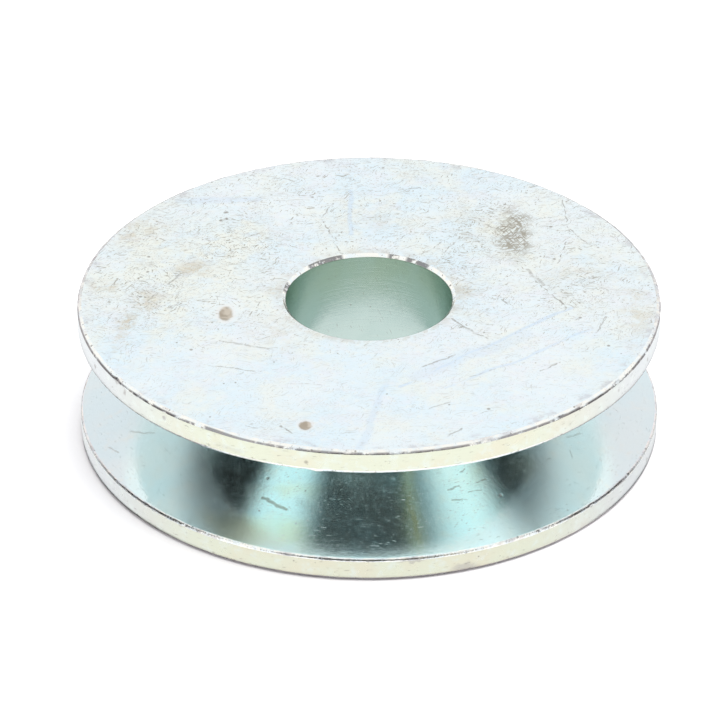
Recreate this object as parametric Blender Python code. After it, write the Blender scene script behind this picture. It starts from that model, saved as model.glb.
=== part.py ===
"""V belt pulley: one turned steel wheel with a single belt groove and a plain bore.

The wheel is centred on the origin. Its axis is Z, and the belt runs in the XY plane.
Lengths are in metres.
"""

import math

import bmesh
import bpy
from mathutils import Vector

# Driving dimensions.
PITCH_DIAMETER = 0.0710     # where the belt's cords run
BORE_DIAMETER = 0.0220
WIDTH = 0.0193              # from flat face to flat face

# The belt groove, for a classical belt 13 mm wide.
GROOVE_ANGLE = math.radians(38.0)   # between the two flanks
PITCH_WIDTH = 0.0110                # groove width on the pitch diameter
DEPTH_ABOVE_PITCH = 0.0030
DEPTH_BELOW_PITCH = 0.0120

# Corners of the turned outline.
RIM_EDGE_RADIUS = 0.00060       # flat face to rim
MOUTH_EDGE_RADIUS = 0.00045     # rim to groove flank
GROOVE_FLOOR_RADIUS = 0.00080   # groove flank to groove floor
BORE_EDGE_RADIUS = 0.00045      # flat face to bore

# Fineness of the round stretches.
TURN_STEPS = 144
RIM_EDGE_STEPS = 3
MOUTH_EDGE_STEPS = 2
GROOVE_FLOOR_STEPS = 2
BORE_EDGE_STEPS = 2
SHARP_ANGLE = math.radians(40.0)    # flatter edges are shaded smooth

# Zinc plate with a clear blue passivate.
ZINC_COLOUR = (0.80, 0.84, 0.85, 1.0)
ZINC_ROUGHNESS = 0.32
ZINC_METALLIC = 1.0


def clear_scene():
    for old in list(bpy.data.objects):
        bpy.data.objects.remove(old, do_unlink=True)


def metal(name, colour, roughness, metallic):
    """A plain Principled material."""
    material = bpy.data.materials.new(name)
    material.use_nodes = True
    shader = material.node_tree.nodes["Principled BSDF"]
    shader.inputs["Base Color"].default_value = colour
    shader.inputs["Roughness"].default_value = roughness
    shader.inputs["Metallic"].default_value = metallic
    material.diffuse_color = colour
    return material


def rounded_corner(before, corner, after, radius, steps):
    """Points of the arc that rounds a corner, tangent to both of its sides."""
    to_before = (before - corner).normalized()
    to_after = (after - corner).normalized()
    half_angle = to_before.angle(to_after) / 2.0
    centre = corner + (to_before + to_after).normalized() * (radius / math.sin(half_angle))
    start = corner + to_before * (radius / math.tan(half_angle)) - centre
    sweep = start.angle_signed(corner + to_after * (radius / math.tan(half_angle)) - centre)
    points = []
    for step in range(steps + 1):
        turn = -sweep * step / steps
        points.append(centre + Vector((
            start.x * math.cos(turn) - start.y * math.sin(turn),
            start.x * math.sin(turn) + start.y * math.cos(turn),
        )))
    return points


def upper_outline():
    """The upper half of the turned outline as (radius, height), from the bore outwards."""
    bore_radius = BORE_DIAMETER / 2.0
    pitch_radius = PITCH_DIAMETER / 2.0
    rim_radius = pitch_radius + DEPTH_ABOVE_PITCH
    floor_radius = pitch_radius - DEPTH_BELOW_PITCH
    flank_slope = math.tan(GROOVE_ANGLE / 2.0)
    face = WIDTH / 2.0

    rim_edge = Vector((rim_radius, face))
    mouth_edge = Vector((rim_radius, PITCH_WIDTH / 2.0 + DEPTH_ABOVE_PITCH * flank_slope))
    floor_edge = Vector((floor_radius, PITCH_WIDTH / 2.0 - DEPTH_BELOW_PITCH * flank_slope))
    bore_edge = Vector((bore_radius, face))
    bore_middle = Vector((bore_radius, 0.0))
    floor_middle = Vector((floor_radius, 0.0))

    outline = rounded_corner(bore_middle, bore_edge, rim_edge, BORE_EDGE_RADIUS, BORE_EDGE_STEPS)
    outline += rounded_corner(bore_edge, rim_edge, mouth_edge, RIM_EDGE_RADIUS, RIM_EDGE_STEPS)
    outline += rounded_corner(rim_edge, mouth_edge, floor_edge, MOUTH_EDGE_RADIUS, MOUTH_EDGE_STEPS)
    outline += rounded_corner(
        mouth_edge, floor_edge, floor_middle, GROOVE_FLOOR_RADIUS, GROOVE_FLOOR_STEPS)
    return outline


def pulley_mesh():
    """The closed outline turned once around the axis."""
    upper = upper_outline()
    lower = [Vector((point.x, -point.y)) for point in reversed(upper)]
    shape = bmesh.new()
    verts = [shape.verts.new((point.x, 0.0, point.y)) for point in upper + lower]
    for index, vert in enumerate(verts):
        shape.edges.new((vert, verts[(index + 1) % len(verts)]))
    bmesh.ops.spin(
        shape,
        geom=shape.verts[:] + shape.edges[:],
        cent=(0.0, 0.0, 0.0),
        axis=(0.0, 0.0, 1.0),
        angle=math.tau,
        steps=TURN_STEPS,
        use_merge=True,
    )
    bmesh.ops.recalc_face_normals(shape, faces=shape.faces[:])
    mesh = bpy.data.meshes.new("pulley_body")
    shape.to_mesh(mesh)
    shape.free()
    mesh.shade_smooth()
    mesh.set_sharp_from_angle(angle=SHARP_ANGLE)
    return mesh


def add_pulley_body():
    """The whole pulley: rim, groove, web and bore are one piece of metal."""
    pulley = bpy.data.objects.new("pulley_body", pulley_mesh())
    bpy.context.scene.collection.objects.link(pulley)
    pulley.data.materials.append(
        metal("zinc_plated_steel", ZINC_COLOUR, ZINC_ROUGHNESS, ZINC_METALLIC))
    return pulley


def main():
    clear_scene()
    add_pulley_body()


main()
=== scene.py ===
import math

import bpy
import numpy as np
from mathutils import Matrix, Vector, noise


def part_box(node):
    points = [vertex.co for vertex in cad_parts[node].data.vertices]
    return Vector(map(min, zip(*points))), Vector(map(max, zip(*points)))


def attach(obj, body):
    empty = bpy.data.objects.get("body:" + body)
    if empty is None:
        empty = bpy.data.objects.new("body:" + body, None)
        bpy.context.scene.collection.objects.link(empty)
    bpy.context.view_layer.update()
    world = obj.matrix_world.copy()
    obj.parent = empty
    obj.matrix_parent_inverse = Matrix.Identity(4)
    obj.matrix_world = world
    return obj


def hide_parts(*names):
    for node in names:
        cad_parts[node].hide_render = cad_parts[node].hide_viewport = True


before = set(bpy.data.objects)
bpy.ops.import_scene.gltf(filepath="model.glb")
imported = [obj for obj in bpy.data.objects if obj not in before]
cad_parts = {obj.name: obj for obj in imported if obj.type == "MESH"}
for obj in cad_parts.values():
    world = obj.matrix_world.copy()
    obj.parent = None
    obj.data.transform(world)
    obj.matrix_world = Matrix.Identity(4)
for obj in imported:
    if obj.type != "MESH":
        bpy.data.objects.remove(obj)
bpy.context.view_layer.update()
low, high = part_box("pulley_body")

# Everything below is in metres and in the CAD's frame: the pulley's axis is Z, and its middle is the origin.
MM = 0.001

# Sizes of the pulley that the frame's box gives.
RIM_RADIUS = high.x
FACE_HEIGHT = high.z
GROUND_HEIGHT = low.z

# Sizes that it doesn't give, as in the CAD source.
BORE_RADIUS = 11.0 * MM
PITCH_RADIUS = 35.5 * MM
PITCH_HALF_WIDTH = 5.5 * MM
FLANK_ANGLE = 19.0              # degrees, each flank against the XY plane
FLOOR_RADIUS = 23.5 * MM
BORE_EDGE_RADIUS = 0.45 * MM
BORE_EDGE_FLAT = 0.84           # here that edge is worn to a small slope: its height against its width
RIM_EDGE_RADIUS = 0.60 * MM
MOUTH_EDGE_RADIUS = 0.45 * MM
GROOVE_FLOOR_RADIUS = 0.80 * MM
MOUTH_HEIGHT = PITCH_HALF_WIDTH + (RIM_RADIUS - PITCH_RADIUS) * math.tan(math.radians(FLANK_ANGLE))

# How many points a ring of the mesh has. Neighbouring rings differ by a factor of two at most.
FINE = 1440
MEDIUM = 720
COARSE = 360
FACE_MEDIUM_FROM = 30.0 * MM    # the flat face has finer rings outside this radius
UPPER_FACE_STEP = 0.80 * MM     # between the rings of the flat faces
LOWER_FACE_STEP = 2.50 * MM
EDGE_SUPPORT = 0.12 * MM
# Steps between the rings of the other parts of the outline.
BORE_STEPS = 6
RIM_EDGE_STEPS = 6
LAND_STEPS = 3
MOUTH_EDGE_STEPS = 4
FLANK_STEPS = 8
FLOOR_CORNER_STEPS = 4
CORNER_SHARE = 0.14             # of the bore's edge, at each end, that is rounded

# Wear of the mesh itself. Finer marks are in the materials.
LUMP_SIZES = (2.2 * MM, 0.7 * MM)           # across, of the uneven hand-worn edges
LUMP_HEIGHTS = (0.050 * MM, 0.024 * MM)
EDGE_NICKS = 170
NICK_LENGTHS = (0.12, 0.55)                 # mm, like the next three
NICK_WIDTHS = (0.10, 0.22)
NICK_DEPTHS = (0.03, 0.13)
NICK_SCATTER = 0.15                         # up and down from the edge
NICK_SLOPE = 0.6                            # how far a nick's direction strays from level
WEAR_SEED = 11
LIP_SHARE = 0.15                # how much of a dent's depth its raised lip takes

# The stage.
GROUND_REACH = 3.0
GROUND_GAP = 0.05 * MM
GROUND_COLOUR = (0.900, 0.888, 0.900)
GROUND_ROUGHNESS = 0.8
GROUND_GLOSS = 0.1
TENT_RADIUS = 0.45
TENT_HEIGHT = 0.75
TENT_STEPS = 120
TENT_ROOF = 0.98                # brightness of the roof
TENT_BRIGHT = 1.22              # of the panels in front
TENT_FRONT = (80.0, 70.0)       # degrees either side of the front, where they end and are full
TENT_REAR = (112.0, 126.0, 152.0, 166.0)    # the darker rosy panels, at the sides of the back
TENT_REAR_COLOUR = (0.91, 0.865, 0.90)
TENT_SLIT = (21.0, 24.0, 26.0, 29.0)        # a warm strip in the right half of the front opening
TENT_SLIT_COLOUR = (0.98, 0.80, 0.42)
TENT_SLIT_SHARE = 0.46
TENT_FADE = 0.35                # the openings fade out upwards over this height, in tent radii
# Openings: angles where the dark starts and is full, where full ends and dark ends; top in tent radii; light.
TENT_OPENINGS = (
    (-44.0, -25.0, 23.0, 52.0, 1.15, 0.06),
    (-128.0, -106.0, -71.0, -57.0, 0.90, 0.00),
    (60.0, 79.0, 106.0, 128.0, 0.90, 0.02),
)
# A white collar just above the rim, which only reflections show, keeps the flat face pale from every side.
COLLAR_RADIUS = 42.0 * MM
COLLAR_HEIGHTS = (10.5 * MM, 75.0 * MM)
COLLAR_LIGHT = 1.0
# The floor's shade around the rim, which only reflections show. It's deeper at the sides and near the rim.
SHADE_TO = 220.0 * MM
SHADE_EVERYWHERE = 0.25
SIDE_SHADE = 0.33
CLOSE_SHADE = 0.50
CLOSE_SHADE_RADII = (40.5, 54.0)            # mm from the axis, where the close part is full and ends
SIDE_SHADE_END = (140.0, 215.0)             # mm from the axis, where the wide part is full and ends
SIDE_SHADE_LEFT = (-33.0, -53.0)            # degrees from the front, where it starts and is full
SIDE_SHADE_RIGHT = (42.0, 62.0)
SIDE_SHADE_BACK = (128.0, 155.0)
# White cards close to the lands, which only reflections show.
CARD_GAP = 0.2 * MM
CARD_HEIGHTS = ((6.7 * MM, 9.2 * MM), (-9.25 * MM, -6.9 * MM))
CARD_LIGHT = (1.17, 1.05)                   # the upper and the lower
BORE_FLOOR_LIGHT = 1.17
LAMP_PLACE = Vector((0.22, 0.05, 1.00))
LAMP_SIZE = 1.0
LAMP_POWER = 13.0
MOST_BOUNCES = 12               # enough for light between the groove's flanks and in the bore
MOST_GLOSSY_BOUNCES = 10

# Camera: seen from a little above, with a long lens.
CAMERA_ELEVATION = math.radians(31.2)
CAMERA_DISTANCE = 15.745        # in outer radii
CAMERA_LENS = 227.8             # mm
CAMERA_SENSOR = 36.0            # mm
CAMERA_SHIFT = (-0.0125, -0.0021)
CAMERA_REACH = (0.01, 20.0)

# Where it is marked. Places on the flat face are (x, y) in mm from the axis, with the front towards -y.
# Scratches: start, end, width in mm and darkness.
SCRATCHES = (
    ((21, 7), (23, 3), 0.75, 0.40),         # long scratch that leaves the scuffed patch
    ((22, 4), (26, -3), 0.32, 0.70),
    ((26.5, 26), (27, 16), 0.24, 0.60),     # forked scratch at the right
    ((27, 16), (25.2, 8.6), 0.26, 0.70),
    ((27, 18), (29.8, 13.4), 0.26, 0.60),
    ((-5, 25), (-6.5, 21), 0.34, 0.50),     # curved line behind the bore
    ((-6.5, 21), (-4, 12), 0.30, 0.62),
    ((-29, -1), (-25, 6), 0.34, 0.55),      # left side
    ((-25.5, 9), (-23, 10.5), 0.28, 0.50),
    ((-23, 10.5), (-18, 10.3), 0.22, 0.55),
    ((-17.5, 15), (-14.5, 17), 0.26, 0.60),
    ((-21, 0.3), (-17.5, -1), 0.26, 0.60),
    ((-17.3, -0.2), (-14, -0.4), 0.26, 0.50),
    ((-14.7, -2.6), (-13.9, 0), 0.24, 0.60),
    ((-29, 25), (-9, 26), 0.20, 0.35),
    ((-14, 32.5), (-10, 31.3), 0.26, 0.60),
    ((-19.3, -11.5), (-12.3, -13.8), 0.50, 0.42),   # front left
    ((-21, -17.5), (-15.3, -19), 0.26, 0.50),
    ((-15.3, -19), (-13.5, -19), 0.26, 0.60),
    ((-11, -22), (-6, -22.4), 0.24, 0.35),
    ((-11.2, -32.3), (-10.4, -33.2), 0.40, 0.60),
    ((-10.4, -33.2), (-9.5, -34.2), 0.40, 0.65),
    ((-15.7, -32.4), (-13.2, -33), 0.24, 0.55),
    ((4, 28.8), (7, 29.4), 0.34, 0.70),     # behind the bore, right
    ((10.6, 28.2), (12, 29.6), 0.24, 0.60),
    ((3.7, 21), (11.7, 16.3), 0.20, 0.50),
    ((5.9, 10.6), (8.2, 12), 0.28, 0.45),
    ((8.2, 12), (9.8, 14.4), 0.26, 0.55),
    ((10.2, 11.7), (12.3, 15.8), 0.26, 0.55),
    ((2.3, 12.5), (5, 16.3), 0.26, 0.45),
    ((16.8, -0.2), (18.3, -2), 0.30, 0.65),
    ((10.9, -5.9), (14.2, -10), 0.55, 0.50),    # front right
    ((14.2, -10), (15.7, -11), 0.30, 0.60),
    ((6.8, -18.2), (10.7, -15.3), 0.42, 0.50),
    ((12.9, -20.5), (17.9, -17.5), 0.24, 0.42),
    ((22, -19), (24.6, -16.8), 0.30, 0.55),
    ((12.8, -30.1), (15.8, -28.5), 0.24, 0.50),
    ((7.7, -28.2), (10.3, -26.5), 0.34, 0.40),
    ((9.8, -34.9), (11.7, -32.8), 0.38, 0.50),
    ((29.5, -9.5), (31, -5.4), 0.34, 0.55),
    ((-20.2, 20.3), (-19.4, 20.7), 0.75, 0.85),     # two dark spots, rear left
    ((-19.7, 22.3), (-19.4, 22.5), 0.55, 0.75),
)
# Bluer wiped streaks: start, end, width, strength.
BLUE_STREAKS = (
    ((4, -22.5), (26.5, -3), 0.9, 0.50),
    ((6, -20), (20, -10), 3.6, 0.26),
    ((10, -23), (29.5, -8), 0.9, 0.42),
    ((-2.6, 28.5), (-2.6, 16.5), 1.0, 0.45),
    ((-1, -38), (2, -22), 1.6, 0.30),
    ((-26, 25.5), (-15, 26.2), 2.2, 0.30),
)
# Tan and olive stains: centre, size across and along, strength.
STAINS = (
    ((-31, 17), (12, 12), 0.42),
    ((-23.3, 7), (9, 7), 0.50),
    ((-29.5, -1), (7, 9), 0.45),
    ((-31.5, -7), (4, 7), 0.60),
    ((-32.2, -12), (2.6, 8), 0.65),
    ((-35.2, 2.4), (5, 5), 0.55),
    ((-12.5, -10), (11, 16), 0.16),
    ((35, -4), (8, 26), 0.30),
    ((28, 4), (16, 14), 0.20),
    ((12.8, 1.5), (5, 6), 0.40),
    ((-12.8, 1.5), (5, 6), 0.35),
    ((1, 20), (6, 8), 0.20),
    ((14.5, 18), (9, 12), 0.18),
)
# Where short scratches crowd: centre and size.
SCRATCHED_AREAS = (
    ((15.5, 18.0), (16.0, 24.0)),
    ((-28.5, 1.0), (14.0, 26.0)),
    ((-18.0, 14.0), (22.0, 18.0)),
    ((28.0, 2.0), (12.0, 18.0)),
    ((-13.0, -32.0), (10.0, 8.0)),
    ((12.0, 8.0), (12.0, 14.0)),
)
# Where the passivate is more cream than blue: centre, size, strength.
CREAM_AREAS = (
    ((-24, 8), (34, 46), 0.75),
    ((0, 0), (34, 38), 0.60),
    ((20, 14), (26, 34), 0.45),
)
# The one broad scuffed patch: centre and size.
SCUFF = ((19.6, 16.5), (6.4, 19.0))
# Pits: centre and size.
PITS = (
    ((-18.8, -4.6), (2.2, 4.2)),
    ((-8.0, -32.1), (1.9, 2.5)),
)
# Grey smears on the lands: (mm around from the front, height), size, strength.
LAND_SMEARS = (
    ((12.4, -8.9), (5.0, 1.8), 0.55),
    ((5.4, -6.9), (5.0, 0.7), 0.55),
    ((-36.6, 8.4), (0.9, 1.6), 0.80),
    ((-38.4, 9.0), (1.2, 0.9), 0.60),
    ((-28.5, 8.4), (0.7, 0.9), 0.75),
    ((-18.0, 7.6), (6.0, 1.2), 0.20),
)
# Dark patches painted on the bore's edge, in degrees from the front.
BORE_EDGE_ARCS = ((134.0, 155.0), (158.0, 168.0), (-163.0, -133.0), (-110.0, -96.0))
ARC_FADE = 3.0                  # degrees over which such a patch starts and ends
# In the groove, places are (mm around from the front, distance from the axis).
GROOVE_SCRATCHES = (
    ((-16.3, 31.0), (-12.0, 32.0), 0.62, 0.75),
    ((12.6, 29.1), (14.6, 28.8), 0.34, 0.60),
    ((12.6, 30.6), (15.0, 31.1), 0.34, 0.60),
    ((15.5, 30.0), (17.7, 30.2), 0.24, 0.50),
    ((17.7, 28.8), (19.6, 28.9), 0.26, 0.55),
    ((16.1, 26.9), (17.2, 26.6), 0.34, 0.60),
    ((-44.0, 33.2), (-41.0, 30.9), 0.50, 0.40),
    ((-43.0, 36.5), (-41.0, 35.9), 0.34, 0.40),
    ((38.0, 29.5), (40.5, 30.4), 0.45, 0.40),
    ((34.5, 31.9), (35.8, 31.0), 0.26, 0.45),
)
GROOVE_TINTS = (
    ((-13.0, 29.0), (8.0, 3.6), 0.45),
    ((-16.5, 36.3), (17.0, 6.0), 0.85),
    ((26.0, 29.5), (9.0, 6.0), 0.30),
    ((6.4, 33.0), (1.6, 12.0), 0.55),
)

# Angles around the pulley are in degrees from the front (-Y), positive towards +X.


def around(angle, radius, height):
    """The point at this angle from the front."""
    turn = math.radians(angle)
    return Vector((radius * math.sin(turn), -radius * math.cos(turn), height))


def on_face(x, y):
    """The point of the upper flat face at x, y in mm."""
    return Vector((x * MM, y * MM, FACE_HEIGHT))


# Dents that are pressed into the mesh: place, length, width and depth in mm.
DENTS = (
    (on_face(-18.9, -4.6), 0.9, 1.7, 0.30),
    (on_face(-8.1, -32.1), 0.9, 0.9, 0.28),
    (around(-9.7, RIM_RADIUS, MOUTH_HEIGHT), 0.9, 0.35, -0.16),
    (around(-54.5, RIM_RADIUS, 8.6 * MM), 0.5, 0.5, 0.22),
    (around(-57.5, RIM_RADIUS, 9.4 * MM), 0.6, 0.4, 0.22),
    (around(-42.4, RIM_RADIUS, 8.8 * MM), 0.4, 0.4, 0.18),
    (around(56.0, RIM_RADIUS, FACE_HEIGHT), 1.2, 0.5, 0.30),
    (around(39.0, RIM_RADIUS, FACE_HEIGHT), 0.9, 0.4, 0.22),
    (around(-31.0, RIM_RADIUS, FACE_HEIGHT), 2.6, 0.6, 0.25),
)


# ---------------------------------------------------------------------------------------------------------
# The pulley's mesh: a turned outline, then dents and lumps.

def line(start, end, steps, tilt):
    """Outline points between two others, as radius, height, tilt of the surface's normal and share of wear.

    One more point close to each end keeps the shading of the neighbouring arcs off the flat.
    """
    length = math.dist(start[:2], end[:2])
    shares = [EDGE_SUPPORT / length]
    shares += [i / steps for i in range(1, steps)]
    shares.append(1.0 - EDGE_SUPPORT / length)
    return [(start[0] + (end[0] - start[0]) * s, start[1] + (end[1] - start[1]) * s, tilt, 0.0)
            for s in shares]


def arc(centre, radius, start, end, steps, worn=0.0, hollow=False):
    """Outline points on an arc, both ends included. Angles are from +radius towards +height, in degrees."""
    points = []
    for i in range(steps + 1):
        angle = start + (end - start) * i / steps
        turn = math.radians(angle)
        points.append((centre[0] + radius * math.cos(turn), centre[1] + radius * math.sin(turn),
                       angle + 180.0 if hollow else angle, worn * math.sin(math.pi * i / steps)))
    return points


def broken_edge(start, end, tilt, worn):
    """Outline points of a small flat edge whose corners are only just rounded."""
    shares = ((0.0, 0.0), (CORNER_SHARE, worn), (0.5, worn), (1.0 - CORNER_SHARE, worn), (1.0, 0.0))
    return [(start[0] + (end[0] - start[0]) * s, start[1] + (end[1] - start[1]) * s, tilt, wear)
            for s, wear in shares]


def half_rings(face_step, rim_count):
    """The rings of the upper half, from the middle of the bore to the middle of the groove's floor."""
    slope = math.tan(math.radians(FLANK_ANGLE))
    floor_height = PITCH_HALF_WIDTH + (FLOOR_RADIUS - PITCH_RADIUS) * slope
    corner = math.tan(math.radians(90.0 - FLANK_ANGLE) / 2.0)   # an arc's start from its corner, in radii

    bore_low = (BORE_RADIUS, FACE_HEIGHT - BORE_EDGE_RADIUS * BORE_EDGE_FLAT)
    face_in = (BORE_RADIUS + BORE_EDGE_RADIUS, FACE_HEIGHT)
    face_split = (FACE_MEDIUM_FROM, FACE_HEIGHT)
    face_out = (RIM_RADIUS - RIM_EDGE_RADIUS, FACE_HEIGHT)
    land_top = (RIM_RADIUS, FACE_HEIGHT - RIM_EDGE_RADIUS)
    land_low = (RIM_RADIUS, MOUTH_HEIGHT + MOUTH_EDGE_RADIUS * corner)
    bore_edge = broken_edge(bore_low, face_in, 135.0, 0.4)
    rim_edge = arc((face_out[0], land_top[1]), RIM_EDGE_RADIUS, 90.0, 0.0,
                   RIM_EDGE_STEPS, worn=1.0)
    mouth_edge = arc((RIM_RADIUS - MOUTH_EDGE_RADIUS, land_low[1]), MOUTH_EDGE_RADIUS,
                     0.0, FLANK_ANGLE - 90.0, MOUTH_EDGE_STEPS, worn=0.7)
    floor_corner = arc((FLOOR_RADIUS + GROOVE_FLOOR_RADIUS, floor_height - GROOVE_FLOOR_RADIUS * corner),
                       GROOVE_FLOOR_RADIUS, 90.0 + FLANK_ANGLE, 180.0, FLOOR_CORNER_STEPS, hollow=True)

    coarse_steps = round((face_split[0] - face_in[0]) / face_step)
    medium_steps = round((face_out[0] - face_split[0]) / face_step)
    flank_tilt = FLANK_ANGLE - 90.0
    stretches = (
        ("bore", COARSE, [(BORE_RADIUS, 0.0, 180.0, 0.0)]),
        ("bore", COARSE, line((BORE_RADIUS, 0.0), bore_low, BORE_STEPS, 180.0)),
        ("bore_edge", MEDIUM, bore_edge),
        ("face", COARSE, line(face_in, face_split, coarse_steps, 90.0)),
        ("face", MEDIUM, line(face_split, face_out, medium_steps, 90.0)),
        ("rim_edge", rim_count, rim_edge[:-1]),
        ("land", rim_count, rim_edge[-1:]),
        ("land", FINE, line(land_top, land_low, LAND_STEPS, 0.0)),
        ("mouth_edge", FINE, mouth_edge),
        ("flank", MEDIUM, line(mouth_edge[-1], floor_corner[0], FLANK_STEPS, flank_tilt)),
        ("flank", COARSE, floor_corner),
        ("flank", COARSE, [(FLOOR_RADIUS, floor_corner[-1][1] * 0.5, 0.0, 0.0)]),
    )
    return [(*point, count, region) for region, count, points in stretches for point in points]


def band(here, there):
    """Faces between two rings of point numbers. One ring may have twice as many points as the other."""
    if len(there) > len(here):
        return [tuple(reversed(face)) for face in band(there, here)]
    faces = []
    if len(here) == len(there):
        for i in range(len(here)):
            faces.append((here[i - 1], there[i - 1], there[i], here[i]))
        return faces
    for i in range(len(there)):
        first, middle, last = here[2 * i - 2], here[2 * i - 1], here[2 * i]
        faces.append((first, there[i - 1], middle))
        faces.append((middle, there[i - 1], there[i]))
        faces.append((middle, there[i], last))
    return faces


def band_region(here, there):
    """The region of the faces between two rings: an edge's own faces lie between two of its rings."""
    return there if here.endswith("_edge") else here


class Turned:
    """The turned body as arrays of points and outward normals, so that wear can be pressed into it."""

    def __init__(self, rings):
        self.points, self.normals, self.wear = [], [], []
        self.faces, self.face_regions = [], []
        numbers = []
        for radius, height, tilt, worn, count, _ in rings:
            angles = np.arange(count) * (math.tau / count)
            across = np.stack([np.cos(angles), np.sin(angles)], axis=1)
            numbers.append(range(len(self.wear), len(self.wear) + count))
            self.points += np.c_[across * radius, np.full(count, height)].tolist()
            lean = math.radians(tilt)
            self.normals += np.c_[across * math.cos(lean), np.full(count, math.sin(lean))].tolist()
            self.wear += [worn] * count
        for index, ring in enumerate(rings):
            following = (index + 1) % len(rings)
            faces = band(numbers[index], numbers[following])
            self.faces += faces
            self.face_regions += [band_region(ring[-1], rings[following][-1])] * len(faces)
        self.points = np.array(self.points)
        self.normals = np.array(self.normals)
        self.wear = np.array(self.wear)

    def press(self, centre, along, length, width, depth):
        """A dent with a low lip around it. along is the direction of its length."""
        away = self.points - np.array(centre)
        lengthwise = away @ np.array(along.normalized())
        crosswise = (away ** 2).sum(axis=1) - lengthwise ** 2
        spread = (lengthwise / length) ** 2 + crosswise / width ** 2
        hollow = np.exp(-spread) - LIP_SHARE * spread * np.exp(-0.5 * spread)
        self.points -= self.normals * (depth * hollow)[:, None]

    def lump(self):
        """Uneven edges, as a tumbled and knocked part has."""
        for size, height in zip(LUMP_SIZES, LUMP_HEIGHTS):
            for index in np.flatnonzero(self.wear):
                rise = noise.noise(Vector(self.points[index] / size)) * height * self.wear[index]
                self.points[index] += self.normals[index] * rise

    def mesh(self, name):
        mesh = bpy.data.meshes.new(name)
        mesh.from_pydata(self.points.tolist(), [], self.faces)
        mesh.update()
        mesh.shade_smooth()
        return mesh


def wear_edges(body):
    """Lumps and random nicks on the rim's edges, and the few larger dents."""
    body.lump()
    draw = np.random.default_rng(WEAR_SEED)
    edge_heights = [sign * height for height in (FACE_HEIGHT, MOUTH_HEIGHT) for sign in (1.0, -1.0)]
    for _ in range(EDGE_NICKS):
        angle = draw.uniform(-180.0, 180.0)
        height = draw.choice(edge_heights) + draw.normal(0.0, NICK_SCATTER) * MM
        turn = math.radians(angle)
        along = Vector((math.cos(turn), math.sin(turn), draw.normal(0.0, NICK_SLOPE)))
        length = draw.uniform(*NICK_LENGTHS) * MM
        body.press(around(angle, RIM_RADIUS, height), along,
                   length, draw.uniform(*NICK_WIDTHS) * MM, draw.uniform(*NICK_DEPTHS) * MM)
    for place, length, width, depth in DENTS:
        body.press(place, Vector((place.y, -place.x, 0.0)), length * MM, width * MM, depth * MM)


def pulley_piece():
    upper = half_rings(UPPER_FACE_STEP, FINE)
    lower = reversed(half_rings(LOWER_FACE_STEP, MEDIUM)[1:])
    lower = [(radius, -height, -tilt, *rest) for radius, height, tilt, *rest in lower]
    body = Turned(upper + lower)
    wear_edges(body)
    mesh = body.mesh("zinc_plated_pulley")
    for material in MATERIALS.values():
        mesh.materials.append(material)
    numbers = {region: index for index, region in enumerate(MATERIALS)}
    mesh.polygons.foreach_set("material_index", [numbers[region] for region in body.face_regions])
    piece = bpy.data.objects.new("zinc_plated_pulley", mesh)
    bpy.context.scene.collection.objects.link(piece)
    return piece


# ---------------------------------------------------------------------------------------------------------
# Materials: one zinc plate, seen on the face, the edges, the land, the groove and the bore.

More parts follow.
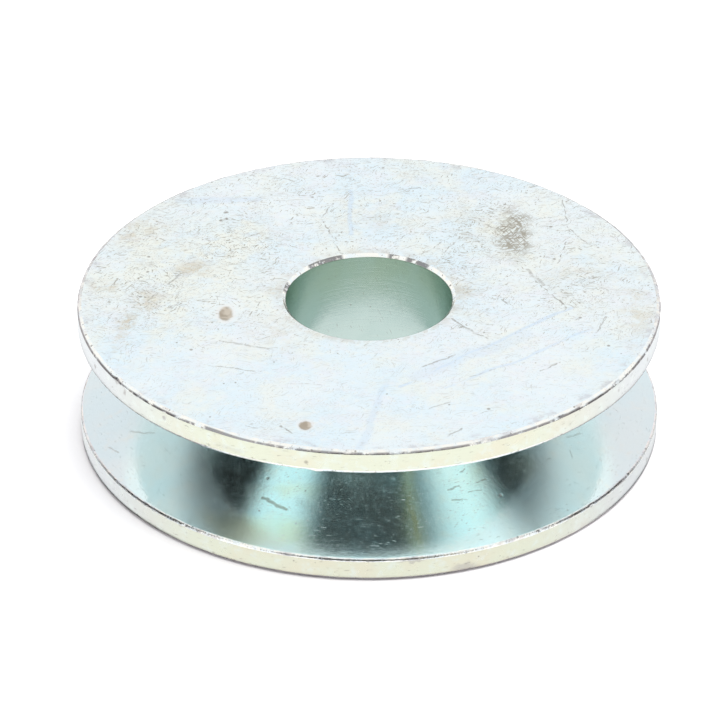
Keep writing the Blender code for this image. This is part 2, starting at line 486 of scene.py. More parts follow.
class Graph:
    """Short calls that add shading nodes to a new material. Lengths in its textures are in mm."""

    def __init__(self, name):
        self.material = bpy.data.materials.new(name)
        self.material.use_nodes = True
        self.tree = self.material.node_tree
        self.shader = self.tree.nodes["Principled BSDF"]
        self.shader.inputs["Metallic"].default_value = 1.0
        self.layers = 0
        metres = self.tree.nodes.new("ShaderNodeTexCoord").outputs["Object"]
        self.place = self.node("ShaderNodeMapping", {"Vector": metres, "Scale": (1.0 / MM,) * 3})

    def node(self, kind, values, output=0, **settings):
        """A new node. values maps its inputs, by name or number, to numbers or to other nodes' outputs."""
        node = self.tree.nodes.new(kind)
        for setting, value in settings.items():
            setattr(node, setting, value)
        for key, value in values.items():
            if isinstance(value, bpy.types.NodeSocket):
                self.tree.links.new(value, node.inputs[key])
            else:
                node.inputs[key].default_value = value
        return node.outputs[output]

    def math(self, operation, *values):
        return self.node("ShaderNodeMath", dict(enumerate(values)), operation=operation)

    def vector(self, operation, *values, factor=None, output=0):
        inputs = dict(enumerate(values))
        if factor is not None:
            inputs["Scale"] = factor
        return self.node("ShaderNodeVectorMath", inputs, output, operation=operation)

    def step(self, value, start, end, low=0.0, high=1.0):
        """A smooth step from low to high while value goes from start to end."""
        inputs = {"Value": value, "From Min": start, "From Max": end, "To Min": low, "To Max": high}
        return self.node("ShaderNodeMapRange", inputs, interpolation_type="SMOOTHSTEP", clamp=False)

    def mix(self, share, under, over):
        """A colour between under and over."""
        colours = {0: share}
        for key, colour in ((6, under), (7, over)):
            colours[key] = (*colour, 1.0) if isinstance(colour, tuple) else colour
        return self.node("ShaderNodeMix", colours, 2, data_type="RGBA")

    def joined(self, masks):
        """The strongest of several masks, whose nodes are added in their order."""
        total = 0.0
        for mask in masks:
            total = self.math("MAXIMUM", total, mask)
        return total

    def spread(self, sizes, turn=0.0, place=None):
        """Texture coordinates measured in these sizes, turned by degrees, and elsewhere at each call."""
        self.layers += 1
        shift = (17.3 * self.layers, 31.7 * self.layers, 5.9 * self.layers)
        inputs = {"Vector": place or self.place, "Location": shift,
                  "Rotation": (0.0, 0.0, math.radians(turn)), "Scale": sizes}
        return self.node("ShaderNodeMapping", inputs, vector_type="TEXTURE")

    def cloud(self, size, detail=2.0, roughness=0.5, place=None):
        """Soft noise around 0.5 whose blotches are about this size."""
        inputs = {"Vector": self.spread((size,) * 3, place=place), "Scale": 1.0,
                  "Detail": detail, "Roughness": roughness}
        return self.node("ShaderNodeTexNoise", inputs)

    def hairlines(self, turn, length, width, start, end, place=None):
        """Straight fine scratches of random length, turned from the X axis by an angle in degrees."""
        stretched = self.spread((length, width, width), turn, place)
        lines = self.node("ShaderNodeTexNoise", {"Vector": stretched, "Scale": 1.0, "Detail": 1.0})
        return self.step(lines, start, end)

    def specks(self, spacing, size, share, place=None):
        """Small round dots, in a share of the cells of this spacing."""
        inputs = {"Vector": self.spread((spacing,) * 3, place=place), "Scale": 1.0}
        cells = self.node("ShaderNodeTexVoronoi", inputs).node
        drawn = self.node("ShaderNodeSeparateColor", {0: cells.outputs["Color"]})
        chosen = self.math("LESS_THAN", drawn, share)
        dots = self.step(cells.outputs["Distance"], size / spacing, 0.4 * size / spacing)
        return self.math("MULTIPLY", dots, chosen)

    def wandering(self, place, size, reach):
        """Coordinates pushed about by noise, so that a mark isn't ruler-straight."""
        inputs = {"Vector": self.spread((size,) * 3), "Scale": 1.0, "Detail": 2.0}
        noisy = self.node("ShaderNodeTexNoise", inputs, "Color")
        push = self.node("ShaderNodeSeparateColor", {0: noisy}).node
        push = self.node("ShaderNodeCombineXYZ", dict(enumerate(push.outputs)))
        push = self.vector("MULTIPLY_ADD", push, (reach,) * 3, (-reach / 2.0,) * 3)
        return self.vector("ADD", place, push)

    def scratch(self, place, start, end, width):
        """1 on a line between two points, 0 off it."""
        start, end = Vector((*start, 0.0)), Vector((*end, 0.0))
        course = end - start
        away = self.vector("SUBTRACT", place, tuple(start))
        along = self.vector("DOT_PRODUCT", away, tuple(course / course.length_squared), output="Value")
        along = self.math("MINIMUM", self.math("MAXIMUM", along, 0.0), 1.0)
        nearest = self.vector("SCALE", tuple(course), factor=along)
        gap = self.vector("DISTANCE", away, nearest, output="Value")
        return self.step(gap, width / 2.0, width / 6.0)

    def patch(self, place, centre, size, soft):
        """1 in the middle of an uneven oval, falling to 0 over the outer share soft of it."""
        away = self.vector("SUBTRACT", place, (*centre, 0.0))
        away = self.vector("MULTIPLY", away, (2.0 / size[0], 2.0 / size[1], 0.0))
        return self.step(self.vector("LENGTH", away, output="Value"), 1.0, 1.0 - soft)

    def flat(self, place):
        """Coordinates without their height, for marks on a flat face."""
        return self.vector("MULTIPLY", place, (1.0, 1.0, 0.0))

    def angle(self):
        """Degrees around the pulley from the front."""
        parts = self.node("ShaderNodeSeparateXYZ", {0: self.place}).node
        turn = self.math("ARCTAN2", parts.outputs[0], self.math("MULTIPLY", parts.outputs[1], -1.0))
        return self.math("MULTIPLY", turn, math.degrees(1.0))

    def unrolled(self, radius_for_length):
        """The length around at this radius, the distance from the axis and the height, all in mm."""
        parts = self.node("ShaderNodeSeparateXYZ", {0: self.place}).node
        around_it = self.math("MULTIPLY", self.angle(), math.radians(radius_for_length))
        out = self.vector("LENGTH", self.flat(self.place), output="Value")
        return around_it, out, parts.outputs[2]

    def finish(self, colour, roughness, height):
        """Links the three patterns. Height is in mm."""
        self.tree.links.new(colour, self.shader.inputs["Base Color"])
        self.tree.links.new(roughness, self.shader.inputs["Roughness"])
        bump = self.node("ShaderNodeBump", {"Height": height, "Strength": 1.0, "Distance": MM})
        self.tree.links.new(bump, self.shader.inputs["Normal"])
        return self.material


# The colours of the plate. On the face:
BLUE_ZINC = (0.795, 0.925, 0.995)
PALE_ZINC = (0.880, 0.950, 0.975)
CREAM_ZINC = (0.900, 0.935, 0.880)
ROSE_ZINC = (0.880, 0.895, 0.945)
WARM_ZINC = (0.93, 0.95, 0.90)
WIPED_ZINC = (0.640, 0.790, 0.960)
TAN_STAIN = (0.660, 0.590, 0.450)
SCUFFED = (0.460, 0.440, 0.380)
HAIR_MARK = (0.540, 0.545, 0.540)
BROWN_MARK = (0.340, 0.310, 0.245)
PIT_EDGE = (0.900, 0.905, 0.890)
PIT_COLOURS = ((0.46, 0.40, 0.32), (0.66, 0.60, 0.51))
RIM_SMEAR = (0.500, 0.480, 0.520)
BORE_GRIME = (0.640, 0.610, 0.540)
# Everywhere:
DARK_MARK = (0.290, 0.265, 0.230)
# On the edges:
# Bright worn zinc, made brighter still to paint in the edges' white highlight.
BRIGHT_ZINC_AND_HIGHLIGHT = (0.990, 0.985, 0.930)
EDGE_GRIME = (0.520, 0.480, 0.500)
# A painted dark reflection: the line that the rim's edge shows of the dark openings round it.
RIM_DARK_REFLECTION = (0.190, 0.172, 0.178)
# A grey line painted on top of the rim at the back.
BACK_RIM_GREY = (0.330, 0.305, 0.320)
# A painted contact shadow: the dark line under the lower rim.
PAINTED_CONTACT_SHADOW = (0.300, 0.250, 0.270)
# The dark patches painted on the bore's edge.
DARK_ARC_COLOUR = (0.170, 0.165, 0.170)
# Heights of the painted lines on the rim's edge: the dark reflection, the grey line at the back and the
# contact shadow under the lower rim.
RIM_PAINTED_LINE_HEIGHTS = (9.08, 9.18, 9.40, 9.55)     # mm: starts, is full, full ends, ends
RIM_REFLECTION_SIDES = (24.0, 42.0)   # degrees from the front, between which it gets stronger
BACK_GREY_FROM = (75.0, 105.0)  # degrees from the front, where it starts and is full
# On the lands:
FRONT_OF_LAND = (66.0, 26.0)    # degrees from the front, where the cream ends and is full
FRONT_CREAMS = ((0.770, 0.800, 0.655), (0.785, 0.770, 0.620))
SIDE_LAND = (0.715, 0.745, 0.765)
PALE_LAND = (0.800, 0.870, 0.830)
RUBBED_LAND = (0.560, 0.540, 0.480)
LAND_SMEAR = (0.470, 0.450, 0.440)
# In the groove:
DULL_GROOVE = (52.0, 74.0, 0.06, 0.20)      # from and to degrees from the front; roughness before and after
GROOVE_BLUES = ((0.775, 0.925, 0.935), (0.815, 0.925, 0.915))
PALE_GROOVE = (0.850, 0.900, 0.850)
OLIVE_GROOVE = (0.800, 0.810, 0.610)
TURNED_GROOVE = (0.640, 0.740, 0.740)
GROOVE_DASH = (0.420, 0.440, 0.410)
GROOVE_DOT = (0.420, 0.400, 0.360)
GROOVE_SCRATCH = (0.400, 0.400, 0.350)
# In the bore:
BORE_GREENS = ((0.490, 0.612, 0.580), (0.520, 0.602, 0.490))    # in the middle, near the edges
PALE_BORE = (0.550, 0.660, 0.625)
TURNED_BORE = (0.600, 0.680, 0.640)


def face_zinc():
    """The flat faces: satin, mottled pale blue, with stains, scratches and pits."""
    g = Graph("zinc_face")
    plain = g.flat(g.place)
    broad = g.step(g.cloud(13.0, 3.0), 0.36, 0.66)
    small = g.step(g.cloud(3.2, 3.0, 0.6), 0.42, 0.70)
    fine = g.step(g.cloud(0.7, 3.0, 0.7), 0.35, 0.70)
    colour = g.mix(broad, BLUE_ZINC, PALE_ZINC)
    colour = g.mix(g.math("MULTIPLY", small, 0.55), colour, ROSE_ZINC)
    cream = g.joined(g.math("MULTIPLY", g.patch(plain, centre, size, 0.8), strength)
                     for centre, size, strength in CREAM_AREAS)
    cream = g.math("ADD", g.step(g.cloud(6.0, 3.0), 0.44, 0.64, 0.0, 0.7), cream)
    cream = g.math("MULTIPLY", cream, g.step(g.cloud(3.0, 3.0), 0.34, 0.56, 0.35, 1.0))
    cream = g.math("MINIMUM", cream, 1.0)
    colour = g.mix(cream, colour, CREAM_ZINC)
    colour = g.mix(g.math("MULTIPLY", fine, 0.30), colour, BLUE_ZINC)
    creamy = g.step(g.cloud(1.3, 3.0, 0.7), 0.50, 0.70)
    colour = g.mix(g.math("MULTIPLY", creamy, 0.35), colour, WARM_ZINC)

    wiped = g.wandering(plain, 9.0, 2.5)
    blue = g.joined(g.math("MULTIPLY", g.scratch(wiped, start, end, width), strength)
                    for start, end, width, strength in BLUE_STREAKS)
    colour = g.mix(blue, colour, WIPED_ZINC)

    uneven = g.wandering(plain, 2.5, 2.6)
    brushed = g.joined(g.hairlines(angle, 1.7, 0.22, 0.42, 0.64) for angle in (28.0, -35.0, 74.0))
    stains = g.joined(g.math("MULTIPLY", g.patch(uneven, centre, size, 0.9), strength)
                      for centre, size, strength in STAINS)
    stains = g.math("MULTIPLY", stains, g.math("MULTIPLY_ADD", brushed, 0.6, 0.4))
    stains = g.math("MULTIPLY", stains, g.step(g.cloud(2.6, 4.0, 0.65), 0.42, 0.60, 0.15, 1.50))
    colour = g.mix(stains, colour, TAN_STAIN)

    curved = g.wandering(plain, 6.0, 6.0)
    hair = g.joined([
        g.hairlines(4.0, 3.4, 0.09, 0.64, 0.74),
        g.hairlines(27.0, 4.0, 0.09, 0.64, 0.75, curved),
        g.hairlines(-24.0, 3.0, 0.09, 0.65, 0.76),
        g.hairlines(82.0, 2.4, 0.09, 0.65, 0.76, curved),
    ])
    crowded = g.joined(g.patch(plain, centre, size, 0.7) for centre, size in SCRATCHED_AREAS)
    crowded = g.math("MAXIMUM", crowded, g.step(g.cloud(7.0, 3.0), 0.46, 0.62, 0.0, 0.45))
    dashes = g.joined([
        g.hairlines(3.0, 1.5, 0.19, 0.665, 0.705, curved),
        g.hairlines(38.0, 1.9, 0.19, 0.670, 0.710, curved),
        g.hairlines(-38.0, 1.4, 0.19, 0.680, 0.720, curved),
    ])
    long_marks = g.joined([
        g.hairlines(14.0, 8.0, 0.16, 0.670, 0.705, curved),
        g.hairlines(62.0, 7.0, 0.16, 0.675, 0.710, curved),
        g.hairlines(-12.0, 6.0, 0.16, 0.680, 0.715, curved),
    ])
    dashes = g.math("MAXIMUM", g.math("MULTIPLY", dashes, crowded), g.math("MULTIPLY", long_marks, 0.80))
    # The front of the face has fewer marks.
    calm = g.step(g.node("ShaderNodeSeparateXYZ", {0: g.place}, 1), -20.0, -2.0, 0.40, 1.0)
    dashes = g.math("MULTIPLY", dashes, calm)
    dots = g.joined([g.specks(1.6, 0.19, 0.20), g.specks(3.2, 0.32, 0.26)])
    jittered = g.wandering(plain, 1.6, 0.9)
    broken = g.step(g.cloud(0.6, 2.0), 0.36, 0.52)
    named = g.joined(g.math("MULTIPLY", g.scratch(jittered, start, end, width), strength)
                     for start, end, width, strength in SCRATCHES)
    named = g.math("MULTIPLY", named, g.math("MULTIPLY_ADD", broken, 0.65, 0.35))

    scuff = g.patch(g.wandering(plain, 2.2, 3.5), *SCUFF, 0.7)
    scored = g.joined(g.hairlines(angle, 1.6, 0.24, 0.52, 0.60) for angle in (12.0, 58.0, -62.0))
    scuff = g.math("MULTIPLY", scuff, g.math("MULTIPLY_ADD", scored, 0.93, 0.10))
    colour = g.mix(scuff, colour, SCUFFED)

    hair = g.math("MULTIPLY", hair, calm)
    colour = g.mix(g.math("MULTIPLY", hair, 0.28), colour, HAIR_MARK)
    colour = g.mix(g.math("MULTIPLY", dashes, 0.88), colour, BROWN_MARK)
    colour = g.mix(g.math("MULTIPLY", dots, 0.68), colour, DARK_MARK)
    colour = g.mix(named, colour, DARK_MARK)

    pits = g.joined(g.patch(g.wandering(plain, 0.8, 0.5), centre, size, 0.35) for centre, size in PITS)
    rims = g.joined(g.patch(plain, centre, (size[0] * 1.45, size[1] * 1.35), 0.35) for centre, size in PITS)
    colour = g.mix(g.math("MULTIPLY", rims, 0.6), colour, PIT_EDGE)
    rust = g.mix(g.step(g.cloud(1.6), 0.40, 0.60), *PIT_COLOURS)
    colour = g.mix(pits, colour, rust)

    out = g.vector("LENGTH", plain, output="Value")
    rim = RIM_RADIUS / MM
    smear = g.math("MULTIPLY", g.step(out, rim - 2.4, rim - 0.9), g.step(g.cloud(2.6, 3.0, 0.6), 0.52, 0.66))
    colour = g.mix(g.math("MULTIPLY", smear, 0.42), colour, RIM_SMEAR)
    bore = g.math("MULTIPLY", g.step(out, 13.2, 11.6), g.step(g.cloud(1.6, 3.0, 0.6), 0.42, 0.60))
    colour = g.mix(g.math("MULTIPLY", bore, 0.45), colour, BORE_GRIME)

    marks = g.joined([named, g.math("MULTIPLY", dashes, 0.7), g.math("MULTIPLY", dots, 0.7), scuff])
    roughness = g.math("MULTIPLY_ADD", g.cloud(1.8, 3.0), 0.16, 0.24)
    roughness = g.math("MULTIPLY_ADD", marks, 0.18, roughness)
    grain = g.math("MULTIPLY", g.cloud(0.28, 3.0, 0.6), 0.010)
    height = g.math("MULTIPLY_ADD", hair, -0.003, grain)
    height = g.math("MULTIPLY_ADD", marks, -0.030, height)
    height = g.math("MULTIPLY_ADD", pits, -0.060, height)
    return g.finish(colour, roughness, height)


def edge_zinc(name, nick_share, rough, painted_line_heights=None, dark_arcs=()):
    """The edges: worn bright, and made brighter still as a painted highlight, with dark nicks.

    A painted dark reflection lies in a line at these heights; a grey line is painted on top of the rim at the
    back, and a painted contact shadow under the lower rim.
    Dark arcs are dark patches painted from one angle to another.
    """
    g = Graph(name)
    # Bright worn zinc on the edges, partly a painted highlight.
    worn = g.step(g.cloud(1.4, 3.0, 0.6), 0.35, 0.62)
    colour = g.mix(worn, PALE_ZINC, BRIGHT_ZINC_AND_HIGHLIGHT)
    grime = g.math("MULTIPLY", g.step(g.cloud(3.5, 4.0, 0.7), 0.52, 0.68), 0.5)
    colour = g.mix(grime, colour, EDGE_GRIME)
    nicks = g.joined([g.step(g.cloud(0.45, 2.0, 0.6), 0.66, 0.74), g.specks(0.9, 0.22, nick_share)])
    colour = g.mix(g.math("MULTIPLY", nicks, 0.75), colour, DARK_MARK)
    if painted_line_heights:
        height_on_it = g.node("ShaderNodeSeparateXYZ", {0: g.place}, 2)
        low_end, low_full, high_full, high_end = painted_line_heights
        # A painted dark reflection along the rim's edge, stronger towards the sides.
        dark_reflection = g.math("MULTIPLY", g.step(height_on_it, low_end, low_full),
                      g.step(height_on_it, high_end, high_full))
        dark_reflection = g.math("MULTIPLY", dark_reflection, g.step(g.math("ABSOLUTE", g.angle()), *RIM_REFLECTION_SIDES, 0.85, 1.0))
        dark_reflection = g.math("MULTIPLY", dark_reflection, g.step(g.cloud(2.4, 3.0, 0.6), 0.36, 0.50))
        colour = g.mix(g.math("MULTIPLY", dark_reflection, 0.86), colour, RIM_DARK_REFLECTION)
        # A grey line painted on top of the rim at the back.
        top = g.math("MULTIPLY", g.step(height_on_it, low_full, high_full),
                     g.step(g.math("ABSOLUTE", g.angle()), *BACK_GREY_FROM))
        top = g.math("MULTIPLY", top, g.step(g.cloud(1.2, 3.0, 0.6), 0.36, 0.56, 0.4, 1.0))
        colour = g.mix(g.math("MULTIPLY", top, 0.62), colour, BACK_RIM_GREY)
        # A painted contact shadow under the lower rim, all round.
        under = g.step(height_on_it, -low_end, -low_full)
        colour = g.mix(g.math("MULTIPLY", under, 0.75), colour, PAINTED_CONTACT_SHADOW)
    if dark_arcs:
        angle = g.angle()
        arcs = g.joined(g.math("MULTIPLY", g.step(angle, start, start + ARC_FADE),
                               g.step(angle, end, end - ARC_FADE))
                        for start, end in dark_arcs)
        arcs = g.math("MULTIPLY", arcs, g.step(g.cloud(0.8, 3.0, 0.6), 0.36, 0.50))
        colour = g.mix(g.math("MULTIPLY", arcs, 0.85), colour, DARK_ARC_COLOUR)
    roughness = g.math("MULTIPLY_ADD", worn, -0.08, rough)
    height = g.math("MULTIPLY", g.cloud(0.35, 3.0, 0.6), 0.05)
    height = g.math("MULTIPLY_ADD", nicks, -0.05, height)
    return g.finish(colour, roughness, height)


def land_zinc():
    """The two lands of the rim: cream at the front, paler and greyer towards the sides and the back."""
    g = Graph("zinc_land")
    around_it, _, height_on_it = g.unrolled(RIM_RADIUS / MM)
    strip = g.node("ShaderNodeCombineXYZ", {0: around_it, 1: height_on_it, 2: 0.0})
    front = g.step(g.math("ABSOLUTE", g.angle()), *FRONT_OF_LAND)
    colour = g.mix(g.step(g.cloud(6.0, 3.0), 0.38, 0.64), *FRONT_CREAMS)
    colour = g.mix(g.math("SUBTRACT", 1.0, front), colour, SIDE_LAND)
    pale = g.step(g.cloud(1.7, 3.0, 0.6), 0.50, 0.72)
    colour = g.mix(g.math("MULTIPLY", pale, 0.6), colour, PALE_LAND)
    rubbed = g.hairlines(0.0, 2.2, 0.10, 0.62, 0.74, strip)
    dashes = g.hairlines(8.0, 0.9, 0.16, 0.70, 0.77, strip)
    dots = g.joined([g.specks(1.3, 0.16, 0.22), g.specks(4.0, 0.42, 0.20)])
    smears = g.joined(g.math("MULTIPLY", g.patch(g.wandering(strip, 1.0, 1.2), centre, size, 0.7), strength)
                      for centre, size, strength in LAND_SMEARS)
    colour = g.mix(g.math("MULTIPLY", rubbed, 0.22), colour, RUBBED_LAND)
    colour = g.mix(smears, colour, LAND_SMEAR)
    colour = g.mix(g.math("MULTIPLY", dashes, 0.45), colour, DARK_MARK)
    colour = g.mix(g.math("MULTIPLY", dots, 0.60), colour, DARK_MARK)
    roughness = g.math("MULTIPLY_ADD", g.cloud(1.2, 3.0), 0.14, 0.22)
    height = g.math("MULTIPLY", g.cloud(0.5, 3.0, 0.6), 0.018)
    height = g.math("MULTIPLY_ADD", g.joined([dashes, dots]), -0.03, height)
    return g.finish(colour, roughness, height)


def groove_zinc():
    """The groove: turned smooth and only satin, so its flanks mirror each other."""
    g = Graph("zinc_groove")
    around_it, out, height_on_it = g.unrolled(PITCH_RADIUS / MM)
    strip = g.node("ShaderNodeCombineXYZ", {0: around_it, 1: out, 2: height_on_it})
    marked = g.node("ShaderNodeCombineXYZ", {0: around_it, 1: out, 2: 0.0})
    lower_flank = g.step(height_on_it, -1.0, -2.0)
    colour = g.mix(g.step(g.cloud(8.0, 3.0), 0.38, 0.64), *GROOVE_BLUES)
    pale = g.step(g.cloud(2.0, 3.0, 0.6), 0.52, 0.74)
    colour = g.mix(g.math("MULTIPLY", pale, 0.5), colour, PALE_GROOVE)
    olive = g.joined(g.math("MULTIPLY", g.patch(g.wandering(marked, 4.0, 3.0), centre, size, 0.9), strength)
                     for centre, size, strength in GROOVE_TINTS)
    colour = g.mix(g.math("MULTIPLY", olive, lower_flank), colour, OLIVE_GROOVE)
    turned = g.hairlines(0.0, 9.0, 0.10, 0.56, 0.74, strip)
    dashes = g.joined([g.hairlines(2.0, 0.9, 0.14, 0.710, 0.775, strip),
                       g.hairlines(-30.0, 0.8, 0.13, 0.72, 0.79, strip)])
    dots = g.joined([g.specks(1.2, 0.15, 0.13), g.specks(3.4, 0.34, 0.20)])
    jittered = g.wandering(marked, 1.2, 0.7)
    named = g.joined(g.math("MULTIPLY", g.scratch(jittered, start, end, width), strength)
                     for start, end, width, strength in GROOVE_SCRATCHES)
    named = g.math("MULTIPLY", named, lower_flank)
    colour = g.mix(g.math("MULTIPLY", turned, 0.12), colour, TURNED_GROOVE)
    colour = g.mix(g.math("MULTIPLY", dashes, 0.50), colour, GROOVE_DASH)
    colour = g.mix(g.math("MULTIPLY", dots, 0.55), colour, GROOVE_DOT)
    colour = g.mix(named, colour, GROOVE_SCRATCH)
    scuffed = g.step(g.math("ABSOLUTE", g.angle()), *DULL_GROOVE)
    roughness = g.math("MULTIPLY_ADD", g.cloud(3.0, 3.0), 0.10, scuffed)
    roughness = g.math("MULTIPLY_ADD", g.joined([named, dashes, dots]), 0.15, roughness)
    height = g.math("MULTIPLY", g.cloud(0.45, 3.0, 0.6), 0.006)
    height = g.math("MULTIPLY_ADD", turned, -0.0008, height)
    height = g.math("MULTIPLY_ADD", g.joined([named, dashes, dots]), -0.010, height)
    return g.finish(colour, roughness, height)


def bore_zinc():
    """The bore's wall: plain turned, a little greener where the plating is thin."""
    g = Graph("zinc_bore")
    around_it, _, height_on_it = g.unrolled(BORE_RADIUS / MM)
    strip = g.node("ShaderNodeCombineXYZ", {0: around_it, 1: height_on_it, 2: 0.0})
    colour = g.mix(g.step(height_on_it, 0.0, 9.0), *BORE_GREENS)
    pale = g.step(g.cloud(5.0, 3.0), 0.38, 0.64)
    colour = g.mix(g.math("MULTIPLY", pale, 0.4), colour, PALE_BORE)
    turned = g.hairlines(0.0, 8.0, 0.12, 0.52, 0.72, strip)
    dots = g.joined([g.specks(1.4, 0.16, 0.20), g.hairlines(70.0, 1.2, 0.14, 0.70, 0.77, strip)])
    colour = g.mix(g.math("MULTIPLY", turned, 0.22), colour, TURNED_BORE)
    colour = g.mix(g.math("MULTIPLY", dots, 0.50), colour, DARK_MARK)
    roughness = g.math("MULTIPLY_ADD", g.cloud(1.5, 3.0), 0.10, 0.16)
    height = g.math("MULTIPLY", g.cloud(0.5, 3.0, 0.6), 0.010)
    height = g.math("MULTIPLY_ADD", turned, -0.003, height)
    return g.finish(colour, roughness, height)


# ---------------------------------------------------------------------------------------------------------
# The stage: a white floor, soft light, and what only reflections show: a white tent with three dark
# openings, a collar above the rim, white cards by the lands, and the floor's shade and glow.

def link(name, data):
    item = bpy.data.objects.new(name, data)
    bpy.context.scene.collection.objects.link(item)
    return item


def add_ground():
    mesh = bpy.data.meshes.new("ground")
    corners = [(x * GROUND_REACH, y * GROUND_REACH, GROUND_HEIGHT - GROUND_GAP)
               for x, y in ((-1, -1), (1, -1), (1, 1), (-1, 1))]
    mesh.from_pydata(corners, [], [(0, 1, 2, 3)])
    material = bpy.data.materials.new("ground")
    material.use_nodes = True
    shader = material.node_tree.nodes["Principled BSDF"]
    shader.inputs["Base Color"].default_value = (*GROUND_COLOUR, 1.0)
    shader.inputs["Roughness"].default_value = GROUND_ROUGHNESS
    shader.inputs["Specular IOR Level"].default_value = GROUND_GLOSS
    mesh.materials.append(material)
    link("ground", mesh)


def tent_material():
    """White, but nearly black in the openings in front and at both sides."""
    g = Graph("tent")
    g.tree.nodes.remove(g.shader)
    parts = g.node("ShaderNodeSeparateXYZ", {0: g.place}).node
    angle = g.angle()
    height = g.math("DIVIDE", parts.outputs[2], TENT_RADIUS / MM)
    start, full, end_full, end = TENT_SLIT
    slit = g.math("MULTIPLY", g.step(angle, start, full), g.step(angle, end, end_full))
    front = g.step(g.math("ABSOLUTE", angle), *TENT_FRONT)
    colour = g.mix(front, (1.0, 1.0, 1.0), (TENT_BRIGHT,) * 3)
    start, full, end_full, end = TENT_REAR
    rear = g.math("MULTIPLY", g.step(g.math("ABSOLUTE", angle), start, full),
                  g.step(g.math("ABSOLUTE", angle), end, end_full))
    colour = g.mix(rear, colour, TENT_REAR_COLOUR)
    for start, full, end_full, end, top, light in TENT_OPENINGS:
        edges = g.math("MULTIPLY", g.step(angle, start, full), g.step(angle, end, end_full))
        opening = g.math("MULTIPLY", edges, g.step(height, top + TENT_FADE, top))
        colour = g.mix(opening, colour, (light,) * 3)
    colour = g.mix(g.math("MULTIPLY", slit, TENT_SLIT_SHARE), colour, TENT_SLIT_COLOUR)
    glow = g.tree.nodes.new("ShaderNodeEmission")
    g.tree.links.new(colour, glow.inputs["Color"])
    surface = g.tree.nodes["Material Output"].inputs["Surface"]
    g.tree.links.new(glow.outputs[0], surface)
    g.material.cycles.emission_sampling = "NONE"
    return g.material


def floor_shade(g):
    """The share of the floor's light that reflections lose: some everywhere, most near the rim's sides."""
    out = g.vector("LENGTH", g.flat(g.place), output="Value")
    angle = g.angle()
    sides = g.math("ADD", g.step(angle, *SIDE_SHADE_LEFT), g.step(angle, *SIDE_SHADE_RIGHT))
    sides = g.math("MULTIPLY", sides, g.step(g.math("ABSOLUTE", angle), *reversed(SIDE_SHADE_BACK)))
    wide = g.step(out, *reversed(SIDE_SHADE_END), 0.0, SIDE_SHADE)
    close = g.step(out, *reversed(CLOSE_SHADE_RADII), 0.0, CLOSE_SHADE)
    lost = g.math("MULTIPLY", sides, g.math("ADD", wide, close))
    kept = g.math("MULTIPLY", g.math("SUBTRACT", 1.0, lost), 1.0 - SHADE_EVERYWHERE)
    return g.math("SUBTRACT", 1.0, kept)


def shade_material():
    """Darkens the floor under it."""
    g = Graph("floor_shade")
    g.tree.nodes.remove(g.shader)
    share = floor_shade(g)
    clear = g.node("ShaderNodeBsdfTransparent", {})
    black = g.node("ShaderNodeEmission", {"Color": (0.0, 0.0, 0.0, 1.0)})
    mixed = g.node("ShaderNodeMixShader", {0: share, 1: clear, 2: black})
    g.tree.links.new(mixed, g.tree.nodes["Material Output"].inputs["Surface"])
    return g.material


def show_in_reflections_only(item):
    item.visible_camera = False
    item.visible_diffuse = False
    item.visible_shadow = False
    item.visible_transmission = False


def glow_material(name, light):
    """An even glow."""
    g = Graph(name)
    g.tree.nodes.remove(g.shader)
    glow = g.node("ShaderNodeEmission", {"Color": (light, light, light, 1.0)})
    g.tree.links.new(glow, g.tree.nodes["Material Output"].inputs["Surface"])
    g.material.cycles.emission_sampling = "NONE"
    return g.material


def add_band(name, start, end, material):
    """A turned band between two outline points (radius, height), which only reflections show."""
    points, faces = [], []
    for i in range(TENT_STEPS):
        angle = 360.0 * i / TENT_STEPS
        points.append(around(angle, *start))
        points.append(around(angle, *end))
        after = (i + 1) % TENT_STEPS
        faces.append((2 * i, 2 * i + 1, 2 * after + 1, 2 * after))
    mesh = bpy.data.meshes.new(name)
    mesh.from_pydata(points, [], faces)
    mesh.materials.append(material)
    band_object = link(name, mesh)
    show_in_reflections_only(band_object)


def add_disc(name, radius, height, light):
    """A level glowing disc on the pulley's axis, which only reflections show."""
    points = [around(360.0 * i / TENT_STEPS, radius, height) for i in range(TENT_STEPS)]
    mesh = bpy.data.meshes.new(name)
    mesh.from_pydata(points, [], [tuple(range(TENT_STEPS))])
    mesh.materials.append(glow_material(name, light))
    disc = link(name, mesh)
    show_in_reflections_only(disc)


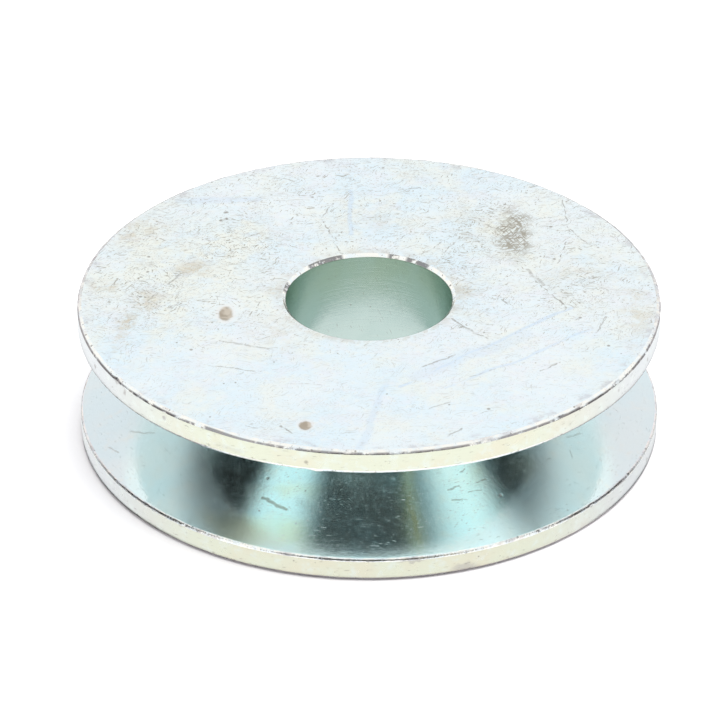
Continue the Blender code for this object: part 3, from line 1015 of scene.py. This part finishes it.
def add_reflected_stage():
    """The tent and its roof, the floor inside the bore, the floor's shade, the collar and the cards."""
    shade_height = GROUND_HEIGHT - GROUND_GAP / 2.0
    add_disc("tent_roof", TENT_RADIUS, TENT_HEIGHT, TENT_ROOF)
    add_disc("bore_floor", BORE_RADIUS, shade_height, BORE_FLOOR_LIGHT)
    add_band("tent", (TENT_RADIUS, GROUND_HEIGHT), (TENT_RADIUS, TENT_HEIGHT), tent_material())
    add_band("floor_shade", (RIM_RADIUS, shade_height), (SHADE_TO, shade_height), shade_material())
    collar = glow_material("collar", COLLAR_LIGHT)
    add_band("collar", (COLLAR_RADIUS, COLLAR_HEIGHTS[0]), (COLLAR_RADIUS, COLLAR_HEIGHTS[1]), collar)
    card_radius = RIM_RADIUS + CARD_GAP
    for name, heights, light in zip(("upper_card", "lower_card"), CARD_HEIGHTS, CARD_LIGHT):
        material = glow_material(name, light)
        add_band(name, (card_radius, heights[0]), (card_radius, heights[1]), material)


def add_light():
    """Even white light from all round, and one broad soft lamp above for the floor."""
    world = bpy.data.worlds.new("studio")
    world.use_nodes = True
    world.node_tree.nodes["Background"].inputs["Color"].default_value = (1.0, 1.0, 1.0, 1.0)
    world.node_tree.nodes["Background"].inputs["Strength"].default_value = 1.0
    bpy.context.scene.world = world
    lamp = bpy.data.lights.new("lamp", "AREA")
    lamp.shape = "DISK"
    lamp.size = LAMP_SIZE
    lamp.energy = LAMP_POWER
    lamp_object = link("lamp", lamp)
    lamp_object.location = LAMP_PLACE
    lamp_object.rotation_euler = (-LAMP_PLACE).to_track_quat("-Z", "Y").to_euler()
    lamp_object.visible_glossy = False


def add_camera():
    camera = bpy.data.cameras.new("camera")
    camera.lens = CAMERA_LENS
    camera.sensor_width = CAMERA_SENSOR
    camera.shift_x, camera.shift_y = CAMERA_SHIFT
    camera.clip_start, camera.clip_end = CAMERA_REACH
    item = link("camera", camera)
    distance = CAMERA_DISTANCE * RIM_RADIUS
    item.location = (0.0, -distance * math.cos(CAMERA_ELEVATION), distance * math.sin(CAMERA_ELEVATION))
    item.rotation_euler = (math.pi / 2.0 - CAMERA_ELEVATION, 0.0, 0.0)
    bpy.context.scene.camera = item


MATERIALS = {
    "bore": bore_zinc(),
    "bore_edge": edge_zinc("zinc_bore_edge", 0.10, 0.26, dark_arcs=BORE_EDGE_ARCS),
    "face": face_zinc(),
    "rim_edge": edge_zinc("zinc_rim_edge", 0.25, 0.28, RIM_PAINTED_LINE_HEIGHTS),
    "land": land_zinc(),
    "mouth_edge": edge_zinc("zinc_mouth_edge", 0.15, 0.28),
    "flank": groove_zinc(),
}

pulley = pulley_piece()
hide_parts("pulley_body")
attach(pulley, "root")

add_ground()
add_reflected_stage()
add_light()
add_camera()

scene = bpy.context.scene
scene.view_settings.view_transform = "Standard"
scene.cycles.max_bounces = MOST_BOUNCES
scene.cycles.glossy_bounces = MOST_GLOSSY_BOUNCES
